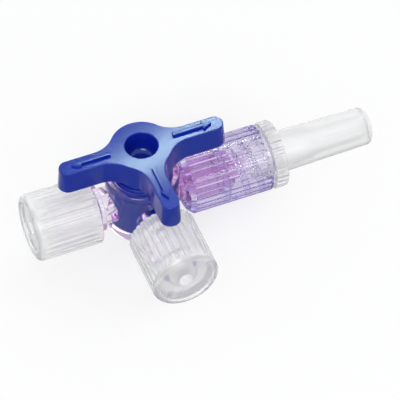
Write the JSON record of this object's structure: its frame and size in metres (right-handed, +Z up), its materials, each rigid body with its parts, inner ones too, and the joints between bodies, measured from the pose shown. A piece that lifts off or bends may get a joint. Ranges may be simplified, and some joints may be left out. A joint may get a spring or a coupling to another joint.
{
  "type": "three way stopcock",
  "caption": "Three way luer stopcock: a clear housing with a turning arrow-marked tap handle, ribbed caps on its socket ports, and a ribbed turning collar round its long-capped male cone.",
  "frame": {"origin": "centre of the barrel's flat base", "axes": "+Z up along the tap's turning axis, +X along the main flow line towards the male cone, -Y along the branch port"},
  "size_m": [0.0599, 0.026, 0.0184],
  "materials": {
    "tinted_clear_plastic": "clear violet-tinted polycarbonate, polished",
    "blue_plastic": "opaque blue polyethylene, glossy",
    "collar_plastic": "clear polycarbonate with a faint lavender tint, polished",
    "cap_plastic": "clear colourless plastic, polished",
    "milky_plastic": "translucent milky polypropylene, satin gloss"
  },
  "bodies": {
    "housing": {"ported_housing": "tinted_clear_plastic"},
    "tap": {"tap_with_handle": "blue_plastic"},
    "collar": {"turning_collar": "collar_plastic"},
    "side_cap": {"side_port_cap": "cap_plastic"},
    "branch_cap": {"branch_port_cap": "cap_plastic"},
    "male_cap": {"male_cone_cap": "milky_plastic"}
  },
  "joints": [
    {"name": "tap_turn", "type": "hinge", "parent": "housing", "child": "tap", "pos_m": [0, 0, 0.00545], "axis": [0, 0, 1], "continuous": true},
    {"name": "collar_spin", "type": "hinge", "parent": "housing", "child": "collar", "pos_m": [0.012, 0, 0.00545], "axis": [1, 0, 0], "continuous": true},
    {"name": "side_cap_off", "type": "slide", "parent": "housing", "child": "side_cap", "axis": [-1, 0, 0], "range_m": [0, 0.012]},
    {"name": "branch_cap_off", "type": "slide", "parent": "housing", "child": "branch_cap", "axis": [0, -1, 0], "range_m": [0, 0.012]},
    {"name": "male_cap_off", "type": "slide", "parent": "housing", "child": "male_cap", "axis": [1, 0, 0], "range_m": [0, 0.01]}
  ]
}
